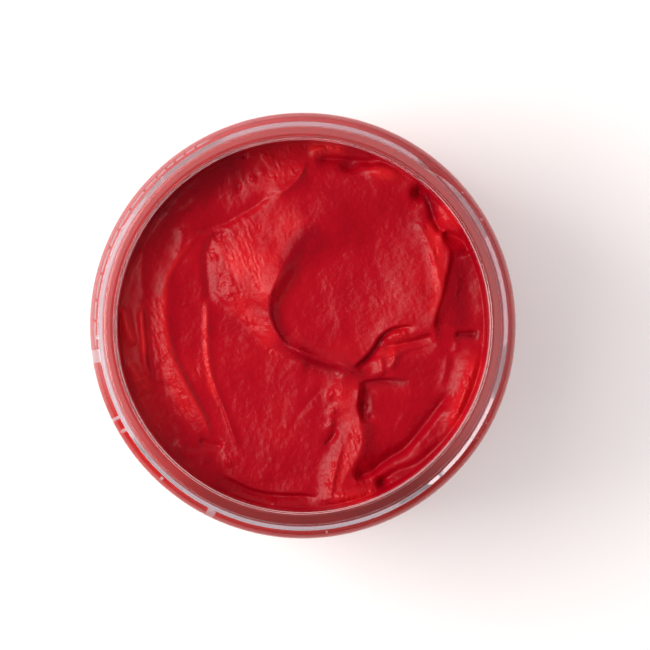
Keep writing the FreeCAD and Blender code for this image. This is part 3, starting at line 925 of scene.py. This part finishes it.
def red_paint(name, deep_and_shaded, middle, pale_and_lit, uneven_tone, smooth_roughness, torn_roughness):
    """Thick satin paste: red, unevenly coloured, glossier where torn, with painted light and shade in its
    colour.
    """
    nodes = Nodes(name)
    paint = nodes.add("ShaderNodeBsdfPrincipled", {"Specular IOR Level": 0.14})
    torn = nodes.add("ShaderNodeAttribute", attribute_name="torn").outputs["Fac"]
    tone = nodes.add("ShaderNodeAttribute", attribute_name="tone").outputs["Fac"]
    # the noise is the paste's own uneven colour; torn patches are painted a little lighter, as painted light
    # on faces that catch the lamps
    uneven = nodes.total(nodes.remap(nodes.noise(110, 4), 0.35, 0.65, *uneven_tone), nodes.remap(torn, 0, 1,
                                                                                                 0, 0.2))
    paleness = nodes.total(uneven, tone)
    deeper = nodes.blend(nodes.remap(paleness, -1, 0, 0, 1), deep_and_shaded, middle)
    nodes.link(nodes.blend(nodes.remap(paleness, 0, 1, 0, 1), deeper, pale_and_lit), paint.inputs["Base Color"])
    nodes.link(nodes.remap(torn, 0, 1, smooth_roughness, torn_roughness), paint.inputs["Roughness"])
    fine = nodes.bump(nodes.noise(1500, 3, 0.6), 0.3, 0.00018)
    coarse = nodes.bump(nodes.noise(700, 3, 0.6), 0.28, 0.0004, fine)
    nodes.link(coarse, paint.inputs["Normal"])
    nodes.link(paint.outputs["BSDF"], nodes.output.inputs["Surface"])
    return nodes.material


# ---------------- stage
def make_floor():
    """A white table top, which also glows a little, as a lit one does."""
    size = 3.0
    nodes = Nodes("white_table")
    surface = nodes.add("ShaderNodeBsdfPrincipled", {
        "Base Color": (0.88, 0.87, 0.865, 1), "Roughness": 0.7, "Specular IOR Level": 0.2,
        "Emission Color": (1.0, 0.965, 0.955, 1), "Emission Strength": 0.325})
    nodes.link(surface.outputs["BSDF"], nodes.output.inputs["Surface"])
    mesh = bpy.data.meshes.new("floor")
    mesh.from_pydata([(-size, -size, 0), (size, -size, 0), (size, size, 0), (-size, size, 0)], [],
                     [(0, 1, 2, 3)])
    mesh.materials.append(nodes.material)
    floor = bpy.data.objects.new("floor", mesh)
    bpy.context.scene.collection.objects.link(floor)


def lamp(name, azimuth, elevation, half_angle, radiance, colour):
    """A soft rectangular lamp that faces the jar from a direction in degrees, counter-clockwise from +X."""
    data = bpy.data.lights.new(name, "AREA")
    data.shape = "RECTANGLE"
    data.size = 2 * LAMP_DISTANCE * math.tan(math.radians(half_angle[0]))
    data.size_y = 2 * LAMP_DISTANCE * math.tan(math.radians(half_angle[1]))
    data.energy = radiance * math.pi * data.size * data.size_y
    data.color = colour
    lamp_object = bpy.data.objects.new(name, data)
    a, e = math.radians(azimuth), math.radians(elevation)
    way = Vector((math.cos(e) * math.cos(a), math.cos(e) * math.sin(a), math.sin(e)))
    lamp_object.location = way * LAMP_DISTANCE + Vector((0, 0, JAR_HIGH.z))
    lamp_object.rotation_euler = way.to_track_quat("Z", "Y").to_euler()
    bpy.context.scene.collection.objects.link(lamp_object)


def make_light():
    """A large soft window on the left, a skylight above it, two dim windows and pale cards all round."""
    warm, rosy = (1.0, 0.96, 0.92), (1.0, 0.86, 0.92)
    lamp("window", 171, 46, (17, 13), 7.8, warm)
    lamp("skylight", 171, 67, (30, 11), 2.7, warm)
    lamp("side_window", 147, 26, (14, 9), 0.9, warm)
    lamp("back_window", 72, 40, (16, 9), 0.5, warm)
    lamp("left_card", 192, 22, (14, 10), 0.42, rosy)
    lamp("right_card", 1, 22, (33, 12), 0.55, rosy)
    lamp("front_card", 262, 22, (30, 12), 0.35, rosy)
    lamp("back_card", 80, 22, (46, 12), 0.27, rosy)
    world = bpy.data.worlds.new("room")
    world.use_nodes = True
    world.node_tree.nodes["Background"].inputs["Color"].default_value = (0.97, 0.98, 1.0, 1)
    world.node_tree.nodes["Background"].inputs["Strength"].default_value = 0.24
    bpy.context.scene.world = world


def make_camera():
    """Straight down on the jar from half a metre above its rim, a little to the right of its axis."""
    data = bpy.data.cameras.new("camera")
    data.sensor_width = 36.0
    data.lens = CAMERA_LENS
    camera = bpy.data.objects.new("camera", data)
    camera.location = (*CAMERA_PLACE, JAR_HIGH.z + CAMERA_ABOVE_RIM)
    bpy.context.scene.collection.objects.link(camera)
    bpy.context.scene.camera = camera


# ---------------- scene
make_floor()
make_light()
make_camera()
bpy.context.scene.view_settings.view_transform = "Standard"

jar = make_jar(clear_plastic())
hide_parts("jar_body")
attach(jar, "root")

# The open paste's own red is its middle colour; its darkest and lightest colours carry its painted shade and
# painted light, and a little random unevenness.
open_paint = red_paint("red_paste", (0.20, 0.0008, 0.0070, 1), (0.43, 0.0015, 0.0105, 1),
                       (0.66, 0.0110, 0.0170, 1), (-0.16, 0.16), 0.24, 0.21)
# The paste against the plastic is painted about twice as light as the open paste, as painted light for what
# reaches it through the plastic; its darkest colour is painted shade round the front, its whitest the painted
# glints at the air pockets.
lit_wetted_paint = red_paint("red_paste_on_plastic_painted_lit", (0.34, 0.0040, 0.0030, 1), (0.92, 0.0100, 0.0060, 1),
                         (0.99, 0.93, 0.96, 1), (-0.12, 0.0), 0.5, 0.5)
paint = make_paint(open_paint, lit_wetted_paint)
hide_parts("paint")
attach(paint, "root")
